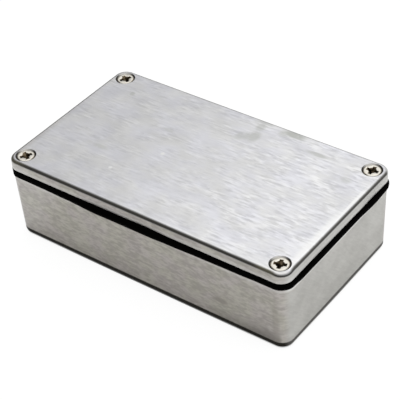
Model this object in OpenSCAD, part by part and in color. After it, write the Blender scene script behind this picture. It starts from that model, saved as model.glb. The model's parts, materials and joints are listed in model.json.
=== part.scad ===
// Die-cast aluminium box: a tub-shaped base, a flat lid on a rubber gasket and four countersunk screws.
// Millimetres, +Z up, +X along the length. The origin is the middle of the underside.

/* [Box] */
// Length over the lid and the rim of the base
box_length = 115; // [90:1:180]
// Width over the lid and the rim of the base
box_width = 65; // [50:1:120]
// Radius of the upright corners of the lid
corner_radius = 4.4; // [3.5:0.1:5.5]

/* [Base] */
// Height of the base casting, underside to rim
base_height = 26.2; // [20:0.1:50]
// Radius of the upright corners of the base at the rim
base_corner_radius = 5; // [4.4:0.1:6]
// Slope of the walls that lets the casting leave its die, in degrees
wall_draft = 1.7; // [0.5:0.1:2.2]
// Thickness of the walls
wall_thickness = 2.4; // [1.8:0.1:3]
// Thickness of the floor
floor_thickness = 2.2; // [1.5:0.1:4]
// Radius of the edge round the underside
foot_edge_radius = 1.6; // [0.6:0.1:2]
// Radius of the outer edge of the rim
rim_edge_radius = 0.4; // [0.2:0.1:0.8]
// Radius of the upright corners of the cavity at the rim
cavity_corner_radius = 3; // [2.5:0.1:4]
// Radius where the walls run into the floor inside
floor_fillet = 1; // [0.4:0.1:1.2]

/* [Gasket] */
// Thickness of the rubber as it is squeezed between the lid and the rim
gasket_thickness = 2.3; // [1.5:0.1:4]
// How far the rubber stands out past the lid at the corners
gasket_proud = 0.3; // [0.1:0.1:0.8]
// How much further it bulges at the middle of a long side
long_side_bulge = 0.9; // [0.1:0.1:1.5]
// How much further it bulges at the middle of a short side
short_side_bulge = 0.3; // [0.1:0.1:1]

/* [Lid] */
// Height of the edge of the lid
lid_height = 4.1; // [3.2:0.1:6]
// Thickness of the plate of the lid inside its edge
lid_plate = 2.4; // [1.5:0.1:2.8]
// Radius of the upper edge of the lid
lid_edge_radius = 1.2; // [0.5:0.1:1.5]
// Radius of the lower outer edge of the lid
lid_lower_radius = 0.3; // [0.1:0.1:0.6]
// Thickness of the lip that locates the lid in the base
lip_thickness = 1.6; // [1:0.1:2.5]
// How far the lip reaches below the rim of the base
lip_reach = 1.8; // [1:0.1:4]
// Lead-in chamfer on the lower outer edge of the lip
lip_chamfer = 0.5; // [0.2:0.1:0.8]
// Clearance between the lip and the walls and bosses of the base
lip_gap = 0.4; // [0.3:0.05:0.8]

/* [Screws] */
// Distance of each screw axis from the two outer faces beside it
screw_inset = 5; // [4.5:0.1:7]
// Outside diameter of the thread
screw_diameter = 3.5; // [3:0.1:4]
// Length of the screw, head included
screw_length = 14; // [12:0.5:20]
// Chamfer at the tip of the screw
tip_chamfer = 0.5; // [0.2:0.1:0.8]
// Diameter of the countersunk head
head_diameter = 6.3; // [5.5:0.1:7]
// Height of the straight rim of the head
head_rim = 0.2; // [0.1:0.05:0.4]
// Depth of the top of the head below the face of the lid
head_sink = 0.2; // [0.1:0.05:0.5]
// Clearance round the cone of the head, measured across the axis
head_gap = 0.08; // [0.04:0.01:0.2]
// Clearance round the thread in the lid and the gasket
lid_hole_gap = 0.3; // [0.2:0.05:0.5]
// Clearance round the thread in the tapped hole
tapped_gap = 0.05; // [0.02:0.01:0.1]
// Depth of the tapped hole past the tip of the screw
hole_spare = 2; // [1:0.5:5]
// Chamfer at the mouth of the tapped hole
hole_chamfer = 0.4; // [0.2:0.1:0.8]
// Thickness of the boss round the tapped hole
boss_wall = 2.4; // [2:0.1:3]

/* [Cross slot] */
// Span of the cross slot at the top of the head
slot_span = 4.3; // [3.5:0.1:5]
// Span of the cross slot at its foot
slot_foot = 1.7; // [1.2:0.1:2.2]
// Width of each arm of the cross slot
slot_width = 1; // [0.8:0.1:1.4]
// Diameter of the hollow at the middle of the cross slot, at the top of the head
slot_core = 2.6; // [1.6:0.1:3]
// Depth of the cross slot
slot_depth = 2; // [1.4:0.1:2.4]
// Turn of the slot in the front left screw, in degrees
slot_turn_front_left = 60; // [0:1:89]
// Turn of the slot in the front right screw, in degrees
slot_turn_front_right = 18; // [0:1:89]
// Turn of the slot in the back left screw, in degrees
slot_turn_back_left = 62; // [0:1:89]
// Turn of the slot in the back right screw, in degrees
slot_turn_back_right = 2; // [0:1:89]

/* [Hidden] */
$fn = 96;

// Cutters run this far past the face that they open
cut_over = 1;
// Points along each bulging side of the gasket, and round each of its corners
bulge_steps = 24;
corner_steps = 8;
// The tip of a drill leaves a cone with this slope at the foot of a blind hole
drill_tip_slope = 31;

aluminium_side = "#9e9a94";
aluminium_top = "#d2d2d6";
black_rubber = "#0c0c0c";
plated_steel = "#d8d2c2";

// Heights of the joint faces
lid_foot = base_height + gasket_thickness;
lid_top = lid_foot + lid_height;
cavity_height = base_height - floor_thickness;

// Screw places and radii
screw_x = box_length / 2 - screw_inset;
screw_y = box_width / 2 - screw_inset;
screw_radius = screw_diameter / 2;
head_radius = head_diameter / 2;
head_top = lid_top - head_sink;
lid_hole_radius = screw_radius + lid_hole_gap;
tapped_radius = screw_radius + tapped_gap;
boss_radius = tapped_radius + boss_wall;
// The seat is a right-angled cone, so its mouth is wider than the head by the depth of the head's rim
seat_mouth_radius = head_radius + head_gap + head_rim + head_sink;

// Walls of the cavity at the rim, measured from the middle of the box
cavity_x = box_length / 2 - wall_thickness;
cavity_y = box_width / 2 - wall_thickness;
// The floor fillet stays inside the upright corners of the cavity, which narrow towards the floor
cavity_corner_foot = cavity_corner_radius - cavity_height * tan(wall_draft);
cavity_fillet = min(floor_fillet, 0.9 * cavity_corner_foot);

// Half-section of a wall: x runs outward from the corner axis, y runs up, and the outer side slopes.
// The outer corner at the foot is rounded, and the one at the top is too unless top_round is 0.
module wall_section(foot, slope, height, foot_round, top_round) {
    foot_axis = [foot + foot_round * tan(slope) - foot_round / cos(slope), foot_round];
    top_axis = [foot + (height - top_round) * tan(slope) - top_round / cos(slope), height - top_round];
    side = [cos(slope), -sin(slope)];
    lower = [[0, 0], [foot_axis.x, 0], foot_axis + foot_round * side];
    upper = top_round > 0 ? [top_axis + top_round * side, [top_axis.x, height]] : [top_axis];
    polygon(concat(lower, upper, [[0, height]]));
    translate(foot_axis) circle(foot_round);
    if (top_round > 0) translate(top_axis) circle(top_round);
}

// Block with four upright round corners: a half-section is run along the sides and turned about the corners
module rounded_block(length, width, radius, height) {
    run_x = length - 2 * radius;
    run_y = width - 2 * radius;
    translate([-run_x / 2, -run_y / 2, 0]) cube([run_x, run_y, height]);
    for (turn = [0, 180]) rotate(turn) {
        translate([run_x / 2, run_y / 2, 0]) rotate([90, 0, 0]) linear_extrude(run_y) children();
        translate([-run_x / 2, run_y / 2, 0]) rotate([90, 0, 90]) linear_extrude(run_x) children();
        translate([run_x / 2, run_y / 2, 0]) rotate_extrude(angle = 90) children();
        translate([-run_x / 2, run_y / 2, 0]) rotate(90) rotate_extrude(angle = 90) children();
    }
}

// Puts its children at the four screw axes
module at_each_screw() {
    for (side_x = [-1, 1], side_y = [-1, 1]) translate([side_x * screw_x, side_y * screw_y, 0]) children();
}

// Plan of the four corner bosses, each filled out to the walls beside it
module boss_plan(radius) {
    for (side_x = [0, 1], side_y = [0, 1])
        mirror([side_x, 0]) mirror([0, side_y]) translate([screw_x, screw_y]) {
            circle(radius);
            square(screw_inset);
        }
}

// Space inside the base: drafted walls, rounded into the floor, with the corner bosses left standing
module cavity() {
    height = cavity_height + cut_over;
    difference() {
        translate([0, 0, floor_thickness])
            rounded_block(2 * cavity_x, 2 * cavity_y, cavity_corner_radius, height)
            wall_section(cavity_corner_foot, wall_draft, height, cavity_fillet, 0);
        linear_extrude(base_height + 2 * cut_over) boss_plan(boss_radius);
    }
}

// Blind tapped hole in a boss, opening upwards at the rim
module tapped_hole() {
    tip = head_top - screw_length - hole_spare;
    drill_tip = tapped_radius * tan(drill_tip_slope);
    mouth_height = hole_chamfer + cut_over;
    translate([0, 0, tip]) cylinder(h = base_height - tip + cut_over, r = tapped_radius);
    translate([0, 0, tip - drill_tip]) cylinder(h = drill_tip, r1 = 0, r2 = tapped_radius);
    translate([0, 0, base_height - hole_chamfer])
        cylinder(h = mouth_height, r1 = tapped_radius, r2 = tapped_radius + mouth_height);
}

module base() {
    foot = base_corner_radius - base_height * tan(wall_draft);
    color(aluminium_side) difference() {
        rounded_block(box_length, box_width, base_corner_radius, base_height)
            wall_section(foot, wall_draft, base_height, foot_edge_radius, rim_edge_radius);
        cavity();
        at_each_screw() tapped_hole();
    }
}

// One quarter of the outline of the gasket: half a long side, a corner and half a short side.
// The rubber bulges most at the middle of each side and runs smoothly into the corner.
function swell(place, run, bulge) = bulge * (1 + cos(180 * place / run)) / 2;
function gasket_quarter() =
    let (run_x = box_length / 2 - corner_radius, run_y = box_width / 2 - corner_radius)
    let (reach = corner_radius + gasket_proud)
    concat(
        [for (i = [bulge_steps:-1:1]) let (y = run_y * (1 - i / bulge_steps))
            [run_x + reach + swell(y, run_y, short_side_bulge), y]],
        [for (i = [0:corner_steps]) let (turn = 90 * i / corner_steps)
            [run_x + reach * cos(turn), run_y + reach * sin(turn)]],
        [for (i = [1:bulge_steps]) let (x = run_x * (1 - i / bulge_steps))
            [x, run_y + reach + swell(x, run_x, long_side_bulge)]]
    );
// The other quarters are its mirror images, each without the point that it shares with the one before
function without_first(points) = [for (i = [1:len(points) - 1]) points[i]];
function reversed(points) = [for (i = [len(points) - 1:-1:0]) points[i]];
function gasket_half() =
    let (quarter = gasket_quarter(), mirrored = [for (p = quarter) [-p.x, p.y]])
    concat(quarter, without_first(reversed(mirrored)));
function gasket_outline() =
    let (half = gasket_half())
    concat(without_first(half), without_first([for (p = half) -p]));

module gasket() {
    color(black_rubber) translate([0, 0, base_height]) linear_extrude(gasket_thickness) difference() {
        polygon(gasket_outline());
        difference() {
            square([2 * cavity_x, 2 * cavity_y], center = true);
            boss_plan(boss_radius);
        }
        at_each_screw() circle(lid_hole_radius);
    }
}

// One run of the locating lip, along X, with its outer face at y = 0 and its foot at z = 0
module lip_run(length, height) {
    translate([-length / 2, 0, 0]) rotate([90, 0, 90]) linear_extrude(length) polygon([
        [-lip_thickness, 0], [-lip_chamfer, 0], [0, lip_chamfer], [0, height], [-lip_thickness, height]
    ]);
}

// Lip round the underside of the lid, broken at the corners where the bosses stand
module locating_lip() {
    lip_x = cavity_x - lip_gap;
    lip_y = cavity_y - lip_gap;
    end_gap = boss_radius + lip_gap;
    height = lip_reach + gasket_thickness + lid_height - lid_plate;
    translate([0, 0, base_height - lip_reach]) for (turn = [0, 180]) rotate(turn) {
        translate([0, lip_y, 0]) lip_run(2 * (screw_x - end_gap), height);
        translate([lip_x, 0, 0]) rotate(-90) lip_run(2 * (screw_y - end_gap), height);
    }
}

// Pocket that lightens the underside of the lid, with a full-height pad left round each screw
module lid_pocket() {
    pocket_x = cavity_x - lip_gap - lip_thickness;
    pocket_y = cavity_y - lip_gap - lip_thickness;
    translate([0, 0, lid_foot - cut_over]) linear_extrude(lid_height - lid_plate + cut_over) difference() {
        square([2 * pocket_x, 2 * pocket_y], center = true);
        boss_plan(boss_radius);
    }
}

// Clearance hole for a screw, with the countersunk seat of its head
module countersunk_hole() {
    seat_depth = seat_mouth_radius - lid_hole_radius;
    translate([0, 0, lid_foot - cut_over]) cylinder(h = lid_height + 2 * cut_over, r = lid_hole_radius);
    translate([0, 0, lid_top - seat_depth])
        cylinder(h = seat_depth + cut_over, r1 = lid_hole_radius, r2 = seat_mouth_radius + cut_over);
}

module lid() {
    color(aluminium_top) difference() {
        union() {
            translate([0, 0, lid_foot]) rounded_block(box_length, box_width, corner_radius, lid_height)
                wall_section(corner_radius, 0, lid_height, lid_lower_radius, lid_edge_radius);
            locating_lip();
        }
        lid_pocket();
        at_each_screw() countersunk_hole();
    }
}

// Cross slot cut down into the head from z = 0: four arms and a tapered hollow, all narrower at the foot
module cross_slot() {
    foot = slot_foot / 2;
    mouth = slot_span / 2 + cut_over * (slot_span - slot_foot) / (2 * slot_depth);
    core_foot = slot_width / 2;
    core_mouth = slot_core / 2 + cut_over * (slot_core - slot_width) / (2 * slot_depth);
    for (turn = [0, 90]) rotate([90, 0, turn]) translate([0, 0, -slot_width / 2])
        linear_extrude(slot_width) polygon([
            [-foot, -slot_depth], [foot, -slot_depth], [mouth, cut_over], [-mouth, cut_over]
        ]);
    translate([0, 0, -slot_depth]) cylinder(h = slot_depth + cut_over, r1 = core_foot, r2 = core_mouth);
}

// Countersunk screw at one corner of the lid: side_x and side_y pick the corner
module lid_screw(side_x, side_y, slot_turn) {
    cone_top = -head_rim;
    cone_foot = cone_top - (head_radius - screw_radius);
    tip_radius = screw_radius - tip_chamfer;
    color(plated_steel) translate([side_x * screw_x, side_y * screw_y, head_top]) difference() {
        rotate_extrude() polygon([
            [0, 0], [head_radius, 0], [head_radius, cone_top], [screw_radius, cone_foot],
            [screw_radius, tip_chamfer - screw_length], [tip_radius, -screw_length], [0, -screw_length]
        ]);
        rotate(slot_turn) cross_slot();
    }
}

base();
gasket();
lid();
lid_screw(-1, -1, slot_turn_front_left);  // screw_front_left
lid_screw(1, -1, slot_turn_front_right);  // screw_front_right
lid_screw(-1, 1, slot_turn_back_left);  // screw_back_left
lid_screw(1, 1, slot_turn_back_right);  // screw_back_right
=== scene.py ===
import json
import math

import bmesh
import bpy
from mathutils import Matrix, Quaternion, Vector

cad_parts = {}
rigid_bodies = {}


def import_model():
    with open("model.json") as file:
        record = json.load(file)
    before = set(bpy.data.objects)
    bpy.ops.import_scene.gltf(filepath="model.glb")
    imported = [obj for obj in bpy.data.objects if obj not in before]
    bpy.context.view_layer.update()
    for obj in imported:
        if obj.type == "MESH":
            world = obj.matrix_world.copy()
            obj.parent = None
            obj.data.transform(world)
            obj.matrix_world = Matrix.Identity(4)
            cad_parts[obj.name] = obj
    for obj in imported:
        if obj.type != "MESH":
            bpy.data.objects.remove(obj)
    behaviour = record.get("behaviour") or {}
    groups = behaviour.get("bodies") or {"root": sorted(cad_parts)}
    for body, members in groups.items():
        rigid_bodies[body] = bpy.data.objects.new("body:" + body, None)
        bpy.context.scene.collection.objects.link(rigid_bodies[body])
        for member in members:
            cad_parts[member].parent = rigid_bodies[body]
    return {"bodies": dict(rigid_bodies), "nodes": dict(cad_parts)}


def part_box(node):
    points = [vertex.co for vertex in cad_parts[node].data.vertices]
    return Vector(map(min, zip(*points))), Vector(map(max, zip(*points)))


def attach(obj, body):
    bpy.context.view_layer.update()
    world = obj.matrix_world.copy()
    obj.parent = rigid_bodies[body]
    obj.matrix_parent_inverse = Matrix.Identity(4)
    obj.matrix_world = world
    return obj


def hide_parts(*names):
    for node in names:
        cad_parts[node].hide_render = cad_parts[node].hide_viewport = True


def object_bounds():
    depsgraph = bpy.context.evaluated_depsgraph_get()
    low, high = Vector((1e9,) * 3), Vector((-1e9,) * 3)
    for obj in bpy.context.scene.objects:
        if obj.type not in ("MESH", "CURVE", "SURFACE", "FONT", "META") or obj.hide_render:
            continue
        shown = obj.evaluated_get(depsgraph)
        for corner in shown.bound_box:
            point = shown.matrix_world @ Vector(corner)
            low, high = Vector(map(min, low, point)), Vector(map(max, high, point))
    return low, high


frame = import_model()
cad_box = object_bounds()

# Camera
# A long lens looks down on the front right corner of the box, as in the photograph, and leans
# a few degrees. Its view passes close to the middle of the box.
MM = 0.001
VIEW_AZIMUTH = 39.11
VIEW_ELEVATION = 38.82
VIEW_LEAN = -4.55
VIEW_DISTANCE = 468.7 * MM
AIM_OFFSET = Vector((0.47, 0.16, 0)) * MM
FOCAL_LENGTH = 122.27
SENSOR_WIDTH = 36

scene = bpy.context.scene
azimuth = math.radians(VIEW_AZIMUTH)
elevation = math.radians(VIEW_ELEVATION)
towards_camera = Vector((
    math.sin(azimuth) * math.cos(elevation),
    -math.cos(azimuth) * math.cos(elevation),
    math.sin(elevation),
))
camera = bpy.data.objects.new("camera", bpy.data.cameras.new("camera"))
camera.data.lens = FOCAL_LENGTH
camera.data.sensor_width = SENSOR_WIDTH
camera.location = (cad_box[0] + cad_box[1]) / 2 + AIM_OFFSET + towards_camera * VIEW_DISTANCE
camera.rotation_mode = "QUATERNION"
lean = Quaternion((0, 0, 1), math.radians(VIEW_LEAN))
camera.rotation_quaternion = (-towards_camera).to_track_quat("-Z", "Y") @ lean
scene.collection.objects.link(camera)
scene.camera = camera
scene.view_settings.view_transform = "Standard"

# Base
# The tub is one aluminium die casting with drafted walls and a tapped boss in each corner. Its outside
# was linished on a belt, which left soft streaks and a mottle, and its foot carries a painted dark shade.
WALL_THICKNESS = 2.4 * MM
WALL_DARK = (0.515, 0.50, 0.482)
WALL_LIGHT = (0.665, 0.65, 0.63)
WALL_BLUSH = (1.0, 0.966, 0.952)
WALL_OLIVE = (1.0, 0.994, 0.92)
# Tint of the end faces, which also paints them lighter than the front and the back
END_TINT_AND_LIGHT = (1.118, 1.136, 1.122)
WALL_SMUDGE = (0.44, 0.41, 0.375)
WALL_SHADE = (0.30, 0.28, 0.26)
FOOT_SHADE = (0.03, 0.028, 0.022)
FOOT_SHADE_ENDS = (0.14, 0.135, 0.125)
# A light colour that paints highlights and lighter tones on edges and walls
PAINTED_HIGHLIGHT = (0.95, 0.94, 0.92)
CORNER_HIGHLIGHT = (0.97, 0.97, 0.96)
CAST_DARK = (0.43, 0.43, 0.42)
CAST_LIGHT = (0.485, 0.485, 0.475)
# Size of each kind of blotch along X, Y and Z
WALL_CLOUD = Vector((10, 10, 7)) * MM
WALL_PATCH = Vector((4.2, 4.2, 1.5)) * MM
WALL_GRAIN = Vector((2, 2, 0.8)) * MM
HUE_DRIFT = Vector((7, 7, 6)) * MM
CAST_GRAIN = Vector((0.6, 0.6, 0.6)) * MM
DIAGONAL_STREAK = Vector((1.2, 4.5, 0.7)) * MM
STREAK_TURN = (math.radians(-45), 0, 0)
# The middle value of the blotches, the values that give the darkest and the lightest tone, the roughness of
# those two tones, and the relief
BLOTCH_MIDDLE = 0.5
WALL_TONES = (0.38, 0.62)
HUE_TONES = (0.35, 0.65)
WALL_ROUGHNESS = (0.5, 0.42)
WALL_RELIEF = 0.02 * MM
# Where each mark starts and where it is full: distances past the wall of the cavity, heights, depths below
# the rim and places along X. The pale left end leans in with the height.
CAVITY_EDGE = (0.05 * MM, 0.01 * MM)
CAVITY_FLOOR = (1 * MM, 1.5 * MM)
FOOT_HEIGHT = (2.9 * MM, 2.4 * MM)
RIM_DEPTH = (2 * MM, 1 * MM)
SHADE_HEIGHT = (9 * MM, 2.5 * MM)
SHADE_RUN = (20 * MM, 54 * MM)
PALE_RUN = (-46 * MM, -54 * MM)
PALE_LEAN = -0.5
# How far the surface faces up, or back for the shade, where each mark starts and is full. The ends go by
# the square of how far it faces right, and the corners by how far it faces right times how far back.
FOOT_FACING = (-0.995, -0.9)
RIM_FACING = (0.99, 0.9)
SHADE_FACING = (-0.8, -0.97)
ENDS_FACING = (0.38, 0.97)
CORNERS_FACING = (0.2, 0.45)
# Strength of the marks, at both ends of the range where they change
RIM_STRENGTH = (0.35, 0.9)
SHADE_STRENGTH = (0.13, 0.85)
PALE_STRENGTH = (0, 0.16)
CORNERS_STRENGTH = 0.35
# Shares of its reach at which a spot starts and is full
SPOT_FADE = (1.2, 0.4)
# Smudges on the front: middle and reach along X, Y and Z, in millimetres, and strength
SMUDGES = [
    ((53.2, -32.3, 11), (1.4, 2, 11), 0.5),
    ((31.9, -32.2, 10.2), (3.4, 2, 1.25), 1.1),
]


def add_node(tree, kind, inputs=None, **settings):
    """Adds a node, with its settings and with a value or a link on each named input."""
    made = tree.nodes.new(kind)
    for setting, value in settings.items():
        setattr(made, setting, value)
    for socket, value in (inputs or {}).items():
        if isinstance(value, bpy.types.NodeSocket):
            tree.links.new(value, made.inputs[socket])
        else:
            made.inputs[socket].default_value = value
    return made


def new_finish(name, metallic):
    """A new material: returns it, its node tree and its surface shader."""
    finish = bpy.data.materials.new(name)
    finish.use_nodes = True
    shader = finish.node_tree.nodes["Principled BSDF"]
    shader.inputs["Metallic"].default_value = metallic
    return finish, finish.node_tree, shader


def coordinates(tree):
    """The piece's own coordinates, and the way its surface faces."""
    source = add_node(tree, "ShaderNodeTexCoord")
    return source.outputs["Object"], source.outputs["Normal"]


def split(tree, vector):
    """The X, Y and Z of a vector."""
    return add_node(tree, "ShaderNodeSeparateXYZ", {0: vector}).outputs


def figure(tree, operation, one, two):
    """One sum on two values."""
    return add_node(tree, "ShaderNodeMath", {0: one, 1: two}, operation=operation).outputs[0]


def vector_figure(tree, operation, one, two=(0, 0, 0)):
    """One sum on two vectors, or on the first of them."""
    return add_node(tree, "ShaderNodeVectorMath", {0: one, 1: two}, operation=operation).outputs[0]


def size_of(tree, vector):
    """How long a vector is."""
    return add_node(tree, "ShaderNodeVectorMath", {0: vector}, operation="LENGTH").outputs["Value"]


def together(tree, *masks):
    """Where all the masks hold."""
    shared = masks[0]
    for mask in masks[1:]:
        shared = figure(tree, "MULTIPLY", shared, mask)
    return shared


def weighed(tree, *parts):
    """Sum of values, each times its weight."""
    total = 0.0
    for value, weight in parts:
        total = figure(tree, "ADD", total, figure(tree, "MULTIPLY", value, weight))
    return total


def fade(tree, value, start, end, low=0.0, high=1.0):
    """Goes smoothly from low to high as the value goes from start to end."""
    limits = {"Value": value, "From Min": start, "From Max": end, "To Min": low, "To Max": high}
    return add_node(tree, "ShaderNodeMapRange", limits, interpolation_type="SMOOTHSTEP").outputs[0]


def blotches(tree, place, size, detail=3.0, turn=(0, 0, 0)):
    """Noise with blotches of about the given size along each axis, in metres, turned by some angles."""
    spread = add_node(
        tree, "ShaderNodeMapping",
        {"Vector": place, "Scale": size, "Rotation": turn},
        vector_type="TEXTURE",
    )
    inputs = {"Vector": spread.outputs[0], "Scale": 1.0, "Detail": detail}
    return add_node(tree, "ShaderNodeTexNoise", inputs).outputs[0]


def spot(tree, place, middle, reach):
    """A soft oval spot, full round its middle and gone just past its reach, both in millimetres."""
    local = add_node(
        tree, "ShaderNodeMapping",
        {"Vector": place, "Location": Vector(middle) * MM, "Scale": Vector(reach) * MM},
        vector_type="TEXTURE",
    )
    return fade(tree, size_of(tree, local.outputs[0]), *SPOT_FADE)


def strongest_spot(tree, place, spots):
    """The strongest of some soft spots, each with a middle, a reach and a strength."""
    strongest = 0.0
    for middle, reach, strength in spots:
        one_spot = figure(tree, "MULTIPLY", spot(tree, place, middle, reach), strength)
        strongest = figure(tree, "MAXIMUM", strongest, one_spot)
    return strongest


def tint(tree, share, one, two, blend="MIX"):
    """Goes from one colour to another, or to the two multiplied. Mix has its colours on inputs 6 and 7."""
    inputs = {0: share}
    for socket, colour in [(6, one), (7, two)]:
        inputs[socket] = colour if isinstance(colour, bpy.types.NodeSocket) else (*colour, 1)
    return add_node(tree, "ShaderNodeMix", inputs, data_type="RGBA", blend_type=blend).outputs[2]


def dent(tree, shader, height, depth):
    """Raises and lowers the surface by a height from 0 to 1 times the depth, in metres."""
    bump = add_node(tree, "ShaderNodeBump", {"Strength": 1.0, "Distance": depth, "Height": height})
    tree.links.new(bump.outputs[0], shader.inputs["Normal"])


def end_faces(tree, facing):
    """1 on what faces left or right, 0 on what faces the front or the back."""
    across = split(tree, facing)["X"]
    return fade(tree, figure(tree, "MULTIPLY", across, across), *ENDS_FACING)


def corner_highlights(tree, facing):
    """Strength of the painted highlight on the rounded front left and back right corners, and 0 elsewhere.
    """
    faces = split(tree, facing)
    corners = fade(tree, figure(tree, "MULTIPLY", faces["X"], faces["Y"]), *CORNERS_FACING)
    return figure(tree, "MULTIPLY", corners, CORNERS_STRENGTH)


def wall_colour(tree, place, ends):
    """Colour and tone of the linished walls: clouds, patches, a drifting tint, streaks on the ends, and a
    painted lighter tone on the ends.
    """
    cloud = blotches(tree, place, WALL_CLOUD, 3)
    patch = blotches(tree, place, WALL_PATCH, 3)
    grain = blotches(tree, place, WALL_GRAIN, 2)
    streak = blotches(tree, place, DIAGONAL_STREAK, 3, STREAK_TURN)
    front_mix = weighed(tree, (cloud, 0.1), (patch, 0.45), (grain, 0.45))
    end_mix = weighed(tree, (cloud, 0.25), (streak, 0.14), (BLOTCH_MIDDLE, 0.61))
    mixed = add_node(tree, "ShaderNodeMix", {0: ends, 2: front_mix, 3: end_mix}).outputs[0]
    tone = fade(tree, mixed, *WALL_TONES)
    drift = fade(tree, blotches(tree, place, HUE_DRIFT, 3), *HUE_TONES)
    # The drifting tint, times the tint of the ends with their painted lighter tone
    end_light_and_hue = tint(tree, ends, tint(tree, drift, WALL_BLUSH, WALL_OLIVE), END_TINT_AND_LIGHT)
    return tint(tree, 1.0, tint(tree, tone, WALL_DARK, WALL_LIGHT), end_light_and_hue, "MULTIPLY"), tone


base_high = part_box("base")[1]
cavity = base_high.xy - Vector((WALL_THICKNESS, WALL_THICKNESS))
base_finish, tree, shader = new_finish("linished_casting", 1)
place, facing = coordinates(tree)
side_x = split(tree, place)["X"]
height = split(tree, place)["Z"]
up = split(tree, facing)["Z"]
from_middle = split(tree, vector_figure(tree, "ABSOLUTE", place))
grain = blotches(tree, place, CAST_GRAIN, 2)
ends = end_faces(tree, facing)
colour, tone = wall_colour(tree, place, ends)

inside = together(
    tree,
    fade(tree, from_middle["X"], *[cavity.x + past for past in CAVITY_EDGE]),
    fade(tree, from_middle["Y"], *[cavity.y + past for past in CAVITY_EDGE]),
    fade(tree, height, *CAVITY_FLOOR),
)
foot = together(tree, fade(tree, height, *FOOT_HEIGHT), fade(tree, up, *FOOT_FACING))
rim = together(
    tree,
    fade(tree, height, *[base_high.z - depth for depth in RIM_DEPTH]),
    fade(tree, up, *RIM_FACING),
    fade(tree, ends, 0, 1, *RIM_STRENGTH),
)
shaded = together(
    tree,
    fade(tree, height, *SHADE_HEIGHT),
    fade(tree, side_x, *SHADE_RUN, *SHADE_STRENGTH),
    fade(tree, split(tree, facing)["Y"], *SHADE_FACING),
)
pale = fade(tree, weighed(tree, (side_x, 1.0), (height, PALE_LEAN)), *PALE_RUN, *PALE_STRENGTH)

# Painted lighter tone towards the left end, leaning in with the height
colour = tint(tree, pale, colour, PAINTED_HIGHLIGHT)
# Painted highlight on the rounded front left and back right corners
colour = tint(tree, corner_highlights(tree, facing), colour, CORNER_HIGHLIGHT)
colour = tint(tree, shaded, colour, WALL_SHADE)
colour = tint(tree, strongest_spot(tree, place, SMUDGES), colour, WALL_SMUDGE)
# Painted dark shade along the foot, lighter on the ends
colour = tint(tree, foot, colour, tint(tree, ends, FOOT_SHADE, FOOT_SHADE_ENDS))
# Painted highlight along the rounded edge of the rim, stronger on the ends
colour = tint(tree, rim, colour, PAINTED_HIGHLIGHT)
colour = tint(tree, inside, colour, tint(tree, tone, CAST_DARK, CAST_LIGHT))
tree.links.new(colour, shader.inputs["Base Color"])
tree.links.new(fade(tree, tone, 0, 1, *WALL_ROUGHNESS), shader.inputs["Roughness"])
dent(tree, shader, weighed(tree, (grain, 0.5), (tone, 0.5)), WALL_RELIEF)
frame["nodes"]["base"].material_slots[0].material = base_finish

# Gasket
# A ring of soft black rubber lies on the rim, with a pad round each screw. The screws squeeze it, so it
# swells out of the joint and laps over the edges of both castings, most of all along the front.
LID_CORNER = 4.4 * MM
BEAD_RINGS = 14
BEAD_TOUCH = 0.03 * MM
MERGE_REACH = 0.001 * MM
CORNER_ANGLE = math.radians(35)
RUBBER_DARK = (0.0005, 0.0004, 0.0003)
RUBBER_LIGHT = (0.0013, 0.0012, 0.001)
RUBBER_BLOOM = Vector((4, 4, 1.5)) * MM
RUBBER_GRAIN = Vector((0.25, 0.25, 0.25)) * MM
RUBBER_TONES = (0.3, 0.7)
RUBBER_ROUGHNESS = (0.62, 0.78)
RUBBER_GLOSS = 0.01
RUBBER_RELIEF = 0.02 * MM
# How far the rubber stands out, droops over the base and rises over the lid at places along the joint, all
# in millimetres. The run starts at the middle of the front and goes by the right, the back and the left.
SWELLING = [
    (-56, 0.05, 0.45, 0.08), (-50, 0.25, 0.36, 0.05), (-42, 0.5, 0.4, -0.05), (-30, 0.75, 0.62, -0.12),
    (-18, 1.3, 1.02, 0.25), (-8, 1.25, 0.93, 0.2), (4, 1.25, 0.95, 0.45), (14, 1, 0.75, -0.35),
    (24, 0.7, 0.54, -0.42), (38, 0.45, 0.36, -0.05), (48, 0.2, 0.15, 0.32), (58, 0.2, 0.15, 0.2),
    (63, 0.45, 0.5, -0.7), (67, 0.75, 0.72, -0.65), (73, 0.8, 0.6, -0.1), (78, 0.8, 0.64, -0.05),
    (90, 0.75, 0.57, -0.3), (100, 0.7, 0.57, -0.3), (110, 1, 0.87, 0.12), (116, 0.85, 0.6, -0.25),
    (121, 0.45, 0.35, -0.6), (128, 0.05, 0.2, -0.3), (180, 0.9, 0.7, 0.3), (225, 0.4, 0.3, 0.1),
    (250, 0.15, 0.1, 0), (270, 0.5, 0.4, 0.1), (296, 0.2, 0.4, 0.05), (303, 0.05, 0.45, 0.08),
]

lid_low, lid_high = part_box("lid")
lid_core_half = lid_high.xy - Vector((LID_CORNER, LID_CORNER))
gasket_low, gasket_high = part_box("gasket")
joint_middle = (gasket_low.z + gasket_high.z) / 2
joint_half = (gasket_high.z - gasket_low.z) / 2


def add_piece(name, mesh, finish):
    """Makes a finished piece of a mesh: smooth, with its corners kept sharp."""
    bmesh.ops.recalc_face_normals(mesh, faces=mesh.faces)
    for face in mesh.faces:
        face.smooth = True
    for edge in mesh.edges:
        edge.smooth = edge.calc_face_angle(0) < CORNER_ANGLE
    piece = bpy.data.objects.new(name, bpy.data.meshes.new(name))
    mesh.to_mesh(piece.data)
    mesh.free()
    piece.data.materials.append(finish)
    scene.collection.objects.link(piece)
    return piece


def copy_of(node):
    """The mesh of a solid, with its triangles joined up."""
    mesh = bmesh.new()
    mesh.from_mesh(frame["nodes"][node].data)
    bmesh.ops.remove_doubles(mesh, verts=mesh.verts, dist=MERGE_REACH)
    return mesh


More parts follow.
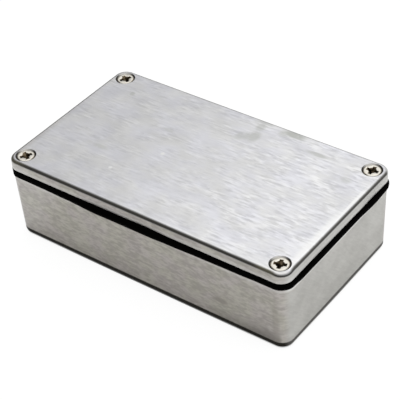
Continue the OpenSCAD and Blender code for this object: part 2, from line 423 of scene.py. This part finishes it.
def lid_core(point):
    """The nearest point of the rectangle that the round corners of the lid are turned about."""
    half = lid_core_half
    return Vector((max(-half.x, min(half.x, point.x)), max(-half.y, min(half.y, point.y))))


def run_along_joint(point, outward):
    """How far round the joint a point is, from the middle of the front, in millimetres."""
    half_length, half_width = lid_high.xy / MM
    x, y = point / MM
    if abs(outward.y) >= abs(outward.x):
        return x if outward.y < 0 else 2 * half_length + 2 * half_width - x
    if outward.x > 0:
        return half_length + half_width + y
    return 3 * half_length + 3 * half_width - y


def swelling_at(run):
    """How far the rubber stands out, droops and rises at a place along the joint, in metres."""
    for before, after in zip(SWELLING, SWELLING[1:]):
        if before[0] <= run <= after[0]:
            share = (run - before[0]) / (after[0] - before[0])
            share = share * share * (3 - 2 * share)
            return [MM * (one + (two - one) * share) for one, two in zip(before[1:], after[1:])]
    return [MM * amount for amount in SWELLING[0][1:]]


gasket_mesh = copy_of("gasket")
outer = {v for v in gasket_mesh.verts if (v.co.xy - lid_core(v.co)).length > LID_CORNER}
wall_edges = [
    e for e in gasket_mesh.edges
    if e.verts[0] in outer and e.verts[1] in outer and abs(e.verts[0].co.z - e.verts[1].co.z) > joint_half
]
upright = [e for e in wall_edges if (e.verts[0].co.xy - e.verts[1].co.xy).length < MERGE_REACH]
bmesh.ops.dissolve_edges(gasket_mesh, edges=[e for e in wall_edges if e not in upright], use_verts=False)
bmesh.ops.subdivide_edges(gasket_mesh, edges=upright, cuts=BEAD_RINGS - 1, use_grid_fill=True)
for vert in gasket_mesh.verts:
    core = lid_core(vert.co)
    outward = vert.co.xy - core
    if outward.length <= LID_CORNER:
        continue
    outward.normalize()
    above_middle = vert.co.z - joint_middle
    proud = 0
    # The rows between the first and the last become a bead, half round from the base up to the lid
    if abs(above_middle) < joint_half - MERGE_REACH:
        swell, droop, rise = swelling_at(run_along_joint(core + outward * LID_CORNER, outward))
        turn = above_middle / joint_half / (1 - 2 / BEAD_RINGS) * math.pi / 2
        vert.co.z = joint_middle + math.sin(turn) * (joint_half + (rise if turn > 0 else droop))
        proud = BEAD_TOUCH + swell * math.cos(turn)
    vert.co.xy = core + outward * (LID_CORNER + proud)

rubber, tree, shader = new_finish("black_rubber", 0)
place = coordinates(tree)[0]
bloom = blotches(tree, place, RUBBER_BLOOM, 4)
tree.links.new(tint(tree, bloom, RUBBER_DARK, RUBBER_LIGHT), shader.inputs["Base Color"])
tree.links.new(fade(tree, bloom, *RUBBER_TONES, *RUBBER_ROUGHNESS), shader.inputs["Roughness"])
shader.inputs["Specular IOR Level"].default_value = RUBBER_GLOSS
dent(tree, shader, blotches(tree, place, RUBBER_GRAIN, 2), RUBBER_RELIEF)
gasket = add_piece("rubber_gasket", gasket_mesh, rubber)
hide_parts("gasket")
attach(gasket, "lid")

# Lid
# The lid is a flat die casting with a lip that locates it in the base. Its face was brushed along its
# length, its edges carry a painted dark reflection, and stains have dried on it near the back.
FACE_DARK = (0.713, 0.712, 0.712)
FACE_LIGHT = (0.947, 0.946, 0.946)
FACE_SHADE = (0.845, 0.845, 0.845)
EDGE_SHADE = (0.87, 0.86, 0.84)
FACE_BLUE = (0.951, 0.954, 1.0)
EDGE_REFLECTION = (0.08, 0.077, 0.069)
EDGE_REFLECTION_BACK = (0.62, 0.62, 0.61)
EDGE_REFLECTION_LEFT = (0.25, 0.245, 0.235)
EDGE_REFLECTION_ENDS = (0.065, 0.063, 0.059)
EDGE_REFLECTION_OLIVE = (0.15, 0.14, 0.105)
EDGE_REFLECTION_CORNER = (0.02, 0.02, 0.018)
SEAT_SHADE = (0.07, 0.068, 0.063)
SEAT_LIT = (0.5, 0.49, 0.47)
STRIP_HIGHLIGHT = (0.98, 0.98, 0.97)
STAIN = (0.50, 0.51, 0.48)
SPECK = (0.86, 0.86, 0.86)
# Size of each kind of streak or blotch along X, Y and Z
LONG_STREAK = Vector((7, 1, 4)) * MM
SHORT_STREAK = Vector((3.4, 0.85, 4)) * MM
BRUSHED_PATCH = Vector((8, 4.5, 8)) * MM
FACE_CLOUD = Vector((10, 8, 8)) * MM
STAIN_PATCH = Vector((2, 2, 2)) * MM
BLUE_DRIFT = Vector((9, 7, 8)) * MM
# Blotch values that give the darkest and the lightest tone, the roughness of those tones, and the relief
FACE_TONES = (0.34, 0.66)
BRUSHED_TONES = (0.36, 0.62)
STAIN_TONES = (0.12, 0.42)
BLUE_TONES = (0.3, 0.7)
FACE_ROUGHNESS = (0.48, 0.38)
FACE_RELIEF = 0.015 * MM
# How far in from the outline the painted dark reflection of the edge starts and is full, how much narrower
# it is in places, and how much further down it reaches at the front right corner
EDGE_REFLECTION_WIDTH = (1.4 * MM, 0.55 * MM)
EDGE_RADIUS = 1.2 * MM
NARROWER_AT_CORNER = 0.5 * MM
NARROWER_AT_RIGHT = 0.1 * MM
NARROWER_ALONG_RUN = 0.08 * MM
LOWER_AT_CORNER = 0.2
# Where each mark starts and where it is full: places along X, distances in from the outline or, for the
# seats, from its rounded edge, and depths below the top
BRUSHED_RUN = (-10 * MM, 35 * MM)
NARROWING_RUN = (-10 * MM, 40 * MM)
FACE_SHADE_RUN = (50 * MM, -50 * MM)
LEFT_LIGHT_RUN = (-40 * MM, -56 * MM)
SEAT_MARGIN = (0, 0.1 * MM)
UNDERSIDE_MARGIN = (0.4 * MM, 0.5 * MM)
UNDERSIDE_DEPTH = (1 * MM, 1.2 * MM)
LOW_LIGHT_DEPTH = (2 * MM, 3.2 * MM)
# How far the surface faces up, or along the axis of the side that the name gives, where each mark starts
# and is full. The seats are painted lit on the side that the lit-side setting gives along X and Y.
REFLECTION_FACING = (0.08, 0.5)
REFLECTION_UPWARD = (0.02, 0.12)
REFLECTION_LEFT_FACING = (-0.3, -0.65)
REFLECTION_BACK_FACING = (0.1, 0.4)
SEAT_TOP_FACING = (0.95, 0.85)
SEAT_FOOT_FACING = (0.4, 0.6)
SEAT_LIT_SIDE = (0.63, -0.78)
SEAT_LIT_FACING = (0.35, 0.7)
STRIP_FACING = (0.9, 0.99)
LOWER_EDGE_FACING = (-0.1, -0.4)
LOWER_EDGE_LEVEL = (-0.98, -0.9)
UNDERSIDE_FACING = (0.5, 0.4)
WALLS_FACING = (0.35, 0.2)
# Strength of the marks, at both ends of the range where they change
BRUSHED_ALONG = (0.5, 1)
BRUSHED_STRENGTH = (0.25, 1.7)
STRIP_ROLLED = (0.1, 0.8)
STRIP_STRENGTH = (0.8, 0)
ENDS_LIGHTENED = 0.25
LEFT_LIGHTENED = (0, 0.4)
LOW_LIGHTENED = (0, 0.4)
# Bands on the face: where each starts and is full along X and along Y, in millimetres, and its strengths
RIGHT_EDGE = ((53.5, 55.5), (-29, -18))
RIGHT_STRIP = ((53.2, 55.6), (14, -4))
RIGHT_STRIP_END = ((55, 55.9), (22, 12))
FRONT_STRIP = ((-35, 30), (-29.8, -30.8), (0, 0.45))
LEFT_BAND = ((-54, -56), (10, -20), (0.35, 1))
FAR_RIGHT = ((36, 52), (-8, 12), (0.06, 0.35))
# Spots at the front corners: offset from the corner where there is one, and reach, in millimetres
ROLLED_REACH = (5.5, 5.5, 5.5)
TUCKED_REACH = (4.5, 4.5, 4.5)
EDGE_SHADE_OFFSET = Vector((-3, 1.5, 0))
EDGE_SHADE_REACH = (6, 3, 2)
OLIVE_REACH = (9, 9, 9)
OLIVE_RIGHT_OFFSET = Vector((-7, 0, 0))
OLIVE_RIGHT_REACH = (5, 5, 5)
# Stains on the face: middle along X and Y, half-length and half-width, in millimetres, and strength
STAINS = [
    (8.5, 22.3, 2.6, 3.6, 0.6), (6.2, 21.4, 2.4, 2.6, 0.5), (4.3, 20.5, 2.2, 2.8, 0.45),
    (7.6, 28, 1.9, 2.6, 0.5), (8, 31, 4, 1, 0.5), (16.5, 29, 2.2, 1.9, 0.45),
    (20, 30.3, 5.2, 2.1, 0.85), (32.5, 25, 5.2, 1.2, 0.65), (48, 18.2, 2.6, 1.6, 0.45),
    (-44, 21, 1.2, 1.2, 0.6), (-19, 10, 2.6, 1.2, 0.4), (-33.5, -10, 3.6, 1.3, 0.4),
]
# Light specks: middle along X and Y and radius, in millimetres
SPECKS = [(-12.5, -2, 0.9), (-23, -17.5, 0.8)]
# How far stains and specks reach down from the face, in millimetres
MARK_DEPTH = 1


def band(tree, place, along_x, along_y, strengths=(0, 1)):
    """A soft band on the face, which fades in along X and, between two strengths, along Y."""
    sides = split(tree, place)
    return together(
        tree,
        fade(tree, sides["X"], *[x * MM for x in along_x]),
        fade(tree, sides["Y"], *[y * MM for y in along_y], *strengths),
    )


def towards_lit_side(tree, vector):
    """How far a vector reaches towards the side on which the seats are painted lit."""
    parts = split(tree, vector)
    return weighed(tree, (parts["X"], SEAT_LIT_SIDE[0]), (parts["Y"], SEAT_LIT_SIDE[1]))


lid_finish, tree, shader = new_finish("brushed_casting", 1)
place, facing = coordinates(tree)
side_x = split(tree, place)["X"]
height = split(tree, place)["Z"]
faces = split(tree, facing)
up = faces["Z"]
lid_top = lid_high.z / MM
front_left = Vector((lid_low.x, lid_low.y, lid_high.z)) / MM
front_right = Vector((lid_high.x, lid_low.y, lid_high.z)) / MM

long_streak = figure(tree, "SUBTRACT", blotches(tree, place, LONG_STREAK, 3), BLOTCH_MIDDLE)
short_streak = figure(tree, "SUBTRACT", blotches(tree, place, SHORT_STREAK, 3), BLOTCH_MIDDLE)
flecks = together(tree, short_streak, figure(tree, "ABSOLUTE", short_streak, 0.0))
cloud = blotches(tree, place, FACE_CLOUD, 3)
grain = blotches(tree, place, CAST_GRAIN, 2)
brushed = together(
    tree,
    fade(tree, side_x, *BRUSHED_RUN, *BRUSHED_ALONG),
    fade(tree, blotches(tree, place, BRUSHED_PATCH, 2), *BRUSHED_TONES, *BRUSHED_STRENGTH),
)
streaks = together(tree, weighed(tree, (long_streak, 0.4), (short_streak, 0.16), (flecks, 2.0)), brushed)
face_mix = weighed(tree, (cloud, 0.24), (BLOTCH_MIDDLE, 0.71), (streaks, 1.0), (grain, 0.05))
tone = fade(tree, face_mix, *FACE_TONES)
stain_spots = [
    ((x, y, lid_top), (half_length, half_width, MARK_DEPTH), strength)
    for x, y, half_length, half_width, strength in STAINS
]
stained = together(
    tree,
    strongest_spot(tree, place, stain_spots),
    fade(tree, blotches(tree, place, STAIN_PATCH, 3), *STAIN_TONES),
)
speck_spots = [((x, y, lid_top), (radius, radius, MARK_DEPTH), 1) for x, y, radius in SPECKS]
specked = strongest_spot(tree, place, speck_spots)

from_middle = split(tree, vector_figure(tree, "ABSOLUTE", place))
past_x = figure(tree, "MAXIMUM", figure(tree, "SUBTRACT", from_middle["X"], lid_core_half.x), 0.0)
past_y = figure(tree, "MAXIMUM", figure(tree, "SUBTRACT", from_middle["Y"], lid_core_half.y), 0.0)
past_core = size_of(tree, add_node(tree, "ShaderNodeCombineXYZ", {0: past_x, 1: past_y}).outputs[0])
rolled = spot(tree, place, front_right, ROLLED_REACH)
tucked = spot(tree, place, front_right, TUCKED_REACH)
reflection_reach = weighed(
    tree,
    (past_core, 1.0),
    (rolled, -NARROWER_AT_CORNER),
    (fade(tree, side_x, *NARROWING_RUN), -NARROWER_ALONG_RUN),
    (band(tree, place, *RIGHT_EDGE), -NARROWER_AT_RIGHT),
)
edge_reflection = together(
    tree,
    fade(tree, reflection_reach, *[LID_CORNER - width for width in EDGE_REFLECTION_WIDTH]),
    fade(tree, weighed(tree, (up, 1.0), (tucked, LOWER_AT_CORNER)), *REFLECTION_FACING),
    fade(tree, up, *REFLECTION_UPWARD),
)
seat_shade_mask = together(
    tree,
    fade(tree, up, *SEAT_TOP_FACING),
    fade(tree, up, *SEAT_FOOT_FACING),
    fade(tree, past_core, *[LID_CORNER - EDGE_RADIUS - margin for margin in SEAT_MARGIN]),
)
right_strip = figure(
    tree, "MAXIMUM", band(tree, place, *RIGHT_STRIP), band(tree, place, *RIGHT_STRIP_END)
)
strip_highlight_mask = together(
    tree,
    figure(tree, "MAXIMUM", right_strip, band(tree, place, *FRONT_STRIP)),
    fade(tree, up, *STRIP_FACING),
    fade(tree, rolled, *STRIP_ROLLED, *STRIP_STRENGTH),
)
lower_edge = together(tree, fade(tree, up, *LOWER_EDGE_FACING), fade(tree, up, *LOWER_EDGE_LEVEL))
underside = together(
    tree,
    fade(tree, height, *[lid_high.z - depth for depth in UNDERSIDE_DEPTH]),
    fade(tree, past_core, *[LID_CORNER - margin for margin in UNDERSIDE_MARGIN]),
    fade(tree, up, *UNDERSIDE_FACING),
)
face_shade_mask = figure(tree, "MAXIMUM", fade(tree, side_x, *FACE_SHADE_RUN), band(tree, place, *FAR_RIGHT))
edge_shade_mask = figure(
    tree, "MAXIMUM",
    spot(tree, place, front_right + EDGE_SHADE_OFFSET, EDGE_SHADE_REACH),
    band(tree, place, *LEFT_BAND),
)
drift = fade(tree, blotches(tree, place, BLUE_DRIFT, 3), *BLUE_TONES)

colour = tint(tree, tone, FACE_DARK, FACE_LIGHT)
# Painted shade over the face, growing towards the left end, and a band of it at the far right
colour = tint(tree, face_shade_mask, colour, FACE_SHADE, "MULTIPLY")
# Painted shade near the front right corner and along the left edge of the face
colour = tint(tree, edge_shade_mask, colour, EDGE_SHADE, "MULTIPLY")
colour = tint(tree, drift, colour, FACE_BLUE, "MULTIPLY")
# Painted highlight strips along the front and right edges of the face, fading at the front right corner
colour = tint(tree, strip_highlight_mask, colour, STRIP_HIGHLIGHT)
colour = tint(tree, stained, colour, STAIN)
colour = tint(tree, specked, colour, SPECK)

walls = fade(tree, up, *WALLS_FACING)
ends = end_faces(tree, facing)
left_light_mask = fade(tree, side_x, *LEFT_LIGHT_RUN, *LEFT_LIGHTENED)
low_light_mask = fade(tree, height, *[lid_high.z - depth for depth in LOW_LIGHT_DEPTH], *LOW_LIGHTENED)
colour = tint(tree, walls, colour, wall_colour(tree, place, ends)[0])
# Painted lighter tones on the walls of the lid: on the ends, towards the left end, on two rounded
# corners and towards the bottom
colour = tint(tree, together(tree, walls, ends, ENDS_LIGHTENED), colour, PAINTED_HIGHLIGHT)
colour = tint(tree, together(tree, walls, left_light_mask), colour, PAINTED_HIGHLIGHT)
colour = tint(tree, together(tree, walls, corner_highlights(tree, facing)), colour, CORNER_HIGHLIGHT)
colour = tint(tree, together(tree, walls, low_light_mask), colour, PAINTED_HIGHLIGHT)

olive_spots = [
    (front_left, OLIVE_REACH, 1),
    (front_right + OLIVE_RIGHT_OFFSET, OLIVE_RIGHT_REACH, 1),
]
# Painted dark reflection on the rounded edges: olive near the front corners, a little darker on the ends,
# lighter where it faces left or back, and darkest at the front right corner
reflection_colour = tint(tree, strongest_spot(tree, place, olive_spots), EDGE_REFLECTION, EDGE_REFLECTION_OLIVE)
reflection_colour = tint(tree, ends, reflection_colour, EDGE_REFLECTION_ENDS)
reflection_colour = tint(tree, fade(tree, faces["X"], *REFLECTION_LEFT_FACING), reflection_colour, EDGE_REFLECTION_LEFT)
reflection_colour = tint(tree, fade(tree, faces["Y"], *REFLECTION_BACK_FACING), reflection_colour, EDGE_REFLECTION_BACK)
reflection_colour = tint(tree, tucked, reflection_colour, EDGE_REFLECTION_CORNER)
colour = tint(tree, edge_reflection, colour, reflection_colour)
seat_lit_mask = fade(tree, towards_lit_side(tree, facing), *SEAT_LIT_FACING)
# Painted shade in the countersunk seats, with painted light on the side that faces the light
colour = tint(tree, seat_shade_mask, colour, tint(tree, seat_lit_mask, SEAT_SHADE, SEAT_LIT))
# Painted highlight on the rounded lower edge of the lid
colour = tint(tree, lower_edge, colour, PAINTED_HIGHLIGHT)
colour = tint(tree, underside, colour, tint(tree, tone, CAST_DARK, CAST_LIGHT))
tree.links.new(colour, shader.inputs["Base Color"])
tree.links.new(fade(tree, tone, 0, 1, *FACE_ROUGHNESS), shader.inputs["Roughness"])
dent(tree, shader, weighed(tree, (long_streak, 0.3), (short_streak, 0.5), (grain, 0.2)), FACE_RELIEF)
frame["nodes"]["lid"].material_slots[0].material = lid_finish

# Screws
# Four bright plated steel screws hold the lid down. Each has a countersunk head with a cross slot, darkened
# with grime and painted shade, a ring of painted shade round its rim, and a machine thread rolled on its
# shank.
NECK_DEPTH = 2.2 * MM
RUN_OUT = 0.3 * MM
THREAD_PITCH = 0.6 * MM
THREAD_DEPTH = 0.36 * MM
THREAD_STEP = 0.04 * MM
THREAD_STEPS = 40
# Corners of one ridge of the thread, as shares of the depth and of the pitch
THREAD_RIDGE = [(0, 0), (0, 0.15), (1, 0.45), (1, 0.6), (0, 0.9)]
# The ridges start some turns below the tip and have turns to spare, and both ends are then cut level
TURNS_BELOW_TIP = 1.5
SPARE_TURNS = 2
TIP_CHAMFER = 0.5 * MM
RIM_SOFTENING = 0.2 * MM
SLOT_SOFTENING = 0.16 * MM
SLOT_RADIUS = 2.25 * MM
SLOT_TAPER = 0.6
# Angles under which faces count as flat and over which edges count as sharp, and sizes under which points
# count as level or on the rim and edges as collapsed
FLAT_ANGLE = math.radians(0.5)
SHARP_ANGLE = math.radians(20)
NEAR = 0.01 * MM
COLLAPSED_SIZE = 0.002 * MM
PLATING_DARK = (0.76, 0.73, 0.655)
PLATING_LIGHT = (0.98, 0.945, 0.86)
PLATING_CLOUD = Vector((1.5, 1.5, 1.5)) * MM
PLATING_GRAIN = Vector((0.3, 0.3, 0.3)) * MM
PLATING_TONES = (0.3, 0.7)
PLATING_ROUGHNESS = (0.34, 0.46)
PLATING_RELIEF = 0.006 * MM
SHADE_AND_GRIME_DARK = (0.045, 0.034, 0.018)
SHADE_AND_GRIME_LIGHT = (0.25, 0.2, 0.135)
SHADE_AND_GRIME_TONES = (0.4, 0.65)
# Where the grime and painted shade round the slot and the painted shade round the rim start and are full,
# and their strengths
SLOT_SHADE_AND_GRIME = (1.65 * MM, 1.1 * MM, 0, 0.8)
RIM_SHADE = (2.6 * MM, 3.0 * MM, 0, 0.9)
RIM_SHADE_SIDES = (2.8 * MM, 1.8 * MM, 0.2, 1)
# What is kept of a distance along X, Y and Z to make it a level one
LEVEL_PART = (1, 1, 0)

plating, tree, shader = new_finish("bright_plating", 1)
place = coordinates(tree)[0]
cloud = blotches(tree, place, PLATING_CLOUD, 4)
slot_shade_and_grime = add_node(tree, "ShaderNodeAttribute", attribute_name="slot_shade_and_grime").outputs["Fac"]
screw_low, screw_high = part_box("screw_back_right")
off_axis = vector_figure(
    tree, "SUBTRACT", vector_figure(tree, "ABSOLUTE", place), (screw_low + screw_high) / 2
)
off_axis = vector_figure(tree, "MULTIPLY", off_axis, LEVEL_PART)
from_axis = size_of(tree, off_axis)
off_axis = vector_figure(tree, "MULTIPLY", off_axis, vector_figure(tree, "SIGN", place))
across = figure(tree, "ABSOLUTE", towards_lit_side(tree, off_axis), 0.0)
round_slot = fade(tree, from_axis, *SLOT_SHADE_AND_GRIME)
round_rim = together(tree, fade(tree, from_axis, *RIM_SHADE), fade(tree, across, *RIM_SHADE_SIDES))
# Grime and painted shade in and round the slot, and painted shade round the rim of the head
shade_and_grime = figure(tree, "MAXIMUM", slot_shade_and_grime, figure(tree, "MAXIMUM", round_slot, round_rim))
shade_and_grime_colour = tint(tree, fade(tree, cloud, *SHADE_AND_GRIME_TONES), SHADE_AND_GRIME_DARK, SHADE_AND_GRIME_LIGHT)
colour = tint(tree, shade_and_grime, tint(tree, cloud, PLATING_DARK, PLATING_LIGHT), shade_and_grime_colour)
tree.links.new(colour, shader.inputs["Base Color"])
tree.links.new(fade(tree, cloud, *PLATING_TONES, *PLATING_ROUGHNESS), shader.inputs["Roughness"])
dent(tree, shader, blotches(tree, place, PLATING_GRAIN, 2), PLATING_RELIEF)


def cut_level(mesh, level, keep_above):
    """Cuts a mesh off level, leaves it open there and returns the edges of the cut."""
    cut = bmesh.ops.bisect_plane(
        mesh, geom=mesh.verts[:] + mesh.edges[:] + mesh.faces[:], plane_co=(0, 0, level),
        plane_no=(0, 0, -1 if keep_above else 1), clear_outer=True,
    )
    return [e for e in cut["geom_cut"] if isinstance(e, bmesh.types.BMEdge)]


def screw_head(node, middle, head_radius, head_top):
    """Head and neck of a screw, open below, with the edges of the head and of its cross slot softened."""
    mesh = copy_of(node)
    cut_level(mesh, head_top - NECK_DEPTH, True)
    bmesh.ops.dissolve_limit(mesh, angle_limit=FLAT_ANGLE, verts=mesh.verts, edges=mesh.edges)
    sharp = [
        e for e in mesh.edges
        if all(abs(v.co.z - head_top) < NEAR for v in e.verts) and e.calc_face_angle(0) > SHARP_ANGLE
    ]
    rim = [e for e in sharp if all((v.co.xy - middle).length > head_radius - NEAR for v in e.verts)]
    slot = [e for e in sharp if e not in rim]
    for edges, softening in [(rim, RIM_SOFTENING), (slot, SLOT_SOFTENING)]:
        bmesh.ops.bevel(
            mesh, geom=edges, offset=softening, segments=2, profile=0.5, affect="EDGES", material=-1,
            clamp_overlap=True,
        )
    return mesh


def screw_thread(middle, radius, top, tip):
    """Threaded shank, open at the top: a row of ridges, spun once round while it moves on by one pitch."""
    mesh = bmesh.new()
    root = radius - THREAD_DEPTH
    row = []
    for turn in range(math.ceil((top - tip) / THREAD_PITCH) + SPARE_TURNS):
        level = tip - THREAD_PITCH * TURNS_BELOW_TIP + turn * THREAD_PITCH
        for out, along in THREAD_RIDGE:
            corner = (middle.x + root + out * THREAD_DEPTH, middle.y, level + along * THREAD_PITCH)
            row.append(mesh.verts.new(corner))
    for one, two in zip(row, row[1:]):
        mesh.edges.new((one, two))
    bmesh.ops.spin(
        mesh, geom=mesh.verts[:] + mesh.edges[:], cent=(middle.x, middle.y, 0), axis=(0, 0, 1),
        dvec=(0, 0, THREAD_PITCH / THREAD_STEPS), angle=2 * math.pi, steps=THREAD_STEPS,
    )
    bmesh.ops.remove_doubles(mesh, verts=mesh.verts, dist=MERGE_REACH)
    cut_level(mesh, top, False)
    bmesh.ops.holes_fill(mesh, edges=cut_level(mesh, tip, True))
    for vert in mesh.verts:
        off = vert.co.xy - middle
        limit = radius - TIP_CHAMFER + (vert.co.z - tip)
        if off.length > limit:
            vert.co.xy = middle + off.normalized() * limit
    return mesh


for name in sorted(frame["bodies"]):
    if not name.startswith("screw"):
        continue
    low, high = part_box(name)
    middle = (low.xy + high.xy) / 2
    neck_level = high.z - NECK_DEPTH
    screw_mesh = screw_head(name, middle, (high.x - low.x) / 2, high.z)
    shank_radius = max((v.co.xy - middle).length for v in screw_mesh.verts if v.co.z < neck_level + NEAR)
    # Faces inside the slot get grime and painted shade
    slot_shade_layer = screw_mesh.faces.layers.float.new("slot_shade_and_grime")
    for face in screw_mesh.faces:
        centre = face.calc_center_median()
        depth = high.z - centre.z
        in_slot = (centre.xy - middle).length < SLOT_RADIUS - SLOT_TAPER * depth
        if in_slot and depth > NEAR:
            face[slot_shade_layer] = 1.0
    # The thread joins the neck across a short step, which makes the screw one closed shell
    thread_mesh = screw_thread(middle, shank_radius - THREAD_STEP, neck_level - RUN_OUT, low.z)
    thread = bpy.data.meshes.new(name + "_thread")
    thread_mesh.to_mesh(thread)
    thread_mesh.free()
    screw_mesh.from_mesh(thread)
    bpy.data.meshes.remove(thread)
    bmesh.ops.bridge_loops(screw_mesh, edges=[e for e in screw_mesh.edges if e.is_boundary])
    bmesh.ops.dissolve_degenerate(screw_mesh, dist=COLLAPSED_SIZE, edges=screw_mesh.edges)
    screw = add_piece("lid_" + name, screw_mesh, plating)
    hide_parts(name)
    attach(screw, name)

# Floor and light
# A plain white floor with a thin contact shadow lies under a wide soft sky, which is brightest above the
# back right and darker elsewhere. The camera sees the floor and the sky as white.
FLOOR_SIZE = 6
FLOOR_WHITE = (0.75, 0.75, 0.75, 1)
FLOOR_SEEN = (0.15, 0.15, 0.15, 1)
FLOOR_GLOW = 0.9
CONTACT_REACH = 0.45 * MM
CONTACT_SAMPLES = 8
# Distances from a corner along the foot between which the contact shadow grows, and its darkness at each
CONTACT_RUN = (2 * MM, 45 * MM)
CONTACT_DARKNESS = (0.6, 3.2)
WHITE = (1, 1, 1, 1)
SKY_PEAK = Vector((0.45, 0.3, 0.84)).normalized()
SKY_EDGE = 0.2
SKY_FULL = 0.62
SKY_BRIGHTNESS = 1.2
SKY_REST = 0.36

floor_mesh = bmesh.new()
bmesh.ops.create_grid(floor_mesh, x_segments=1, y_segments=1, size=FLOOR_SIZE / 2)
floor = bpy.data.objects.new("floor", bpy.data.meshes.new("floor"))
floor_mesh.to_mesh(floor.data)
floor_mesh.free()
scene.collection.objects.link(floor)
floor_finish = bpy.data.materials.new("pale_floor")
floor_finish.use_nodes = True
tree = floor_finish.node_tree
tree.nodes.clear()
lit = add_node(tree, "ShaderNodeBsdfDiffuse", {"Color": FLOOR_WHITE}).outputs[0]
seen_lit = add_node(tree, "ShaderNodeBsdfDiffuse", {"Color": FLOOR_SEEN}).outputs[0]
clear = add_node(
    tree, "ShaderNodeAmbientOcclusion", {"Distance": CONTACT_REACH}, samples=CONTACT_SAMPLES
).outputs["AO"]
from_middle = split(tree, vector_figure(tree, "ABSOLUTE", coordinates(tree)[0]))
from_corner = figure(
    tree, "MAXIMUM",
    figure(tree, "SUBTRACT", base_high.x, from_middle["X"]),
    figure(tree, "SUBTRACT", base_high.y, from_middle["Y"]),
)
darkness = fade(tree, from_corner, *CONTACT_RUN, *CONTACT_DARKNESS)
strength = figure(tree, "MULTIPLY", figure(tree, "POWER", clear, darkness), FLOOR_GLOW)
glow = add_node(tree, "ShaderNodeEmission", {"Color": WHITE, "Strength": strength}).outputs[0]
seen = add_node(tree, "ShaderNodeAddShader", {0: seen_lit, 1: glow}).outputs[0]
camera_sees = add_node(tree, "ShaderNodeLightPath").outputs["Is Camera Ray"]
mixed = add_node(tree, "ShaderNodeMixShader", {0: camera_sees, 1: lit, 2: seen}).outputs[0]
add_node(tree, "ShaderNodeOutputMaterial", {"Surface": mixed})
floor.data.materials.append(floor_finish)

world = bpy.data.worlds.new("studio")
scene.world = world
world.use_nodes = True
tree = world.node_tree
direction = add_node(tree, "ShaderNodeTexCoord").outputs["Generated"]
towards_peak = add_node(
    tree, "ShaderNodeVectorMath", {0: direction, 1: SKY_PEAK}, operation="DOT_PRODUCT"
).outputs["Value"]
brightness = add_node(tree, "ShaderNodeMapRange", {
    "Value": towards_peak,
    "From Min": SKY_EDGE, "From Max": SKY_FULL,
    "To Min": SKY_REST, "To Max": SKY_BRIGHTNESS,
}).outputs[0]
camera_sees = add_node(tree, "ShaderNodeLightPath").outputs["Is Camera Ray"]
shown = figure(tree, "MAXIMUM", brightness, camera_sees)
tree.links.new(shown, tree.nodes["Background"].inputs["Strength"])
tree.nodes["Background"].inputs["Color"].default_value = WHITE
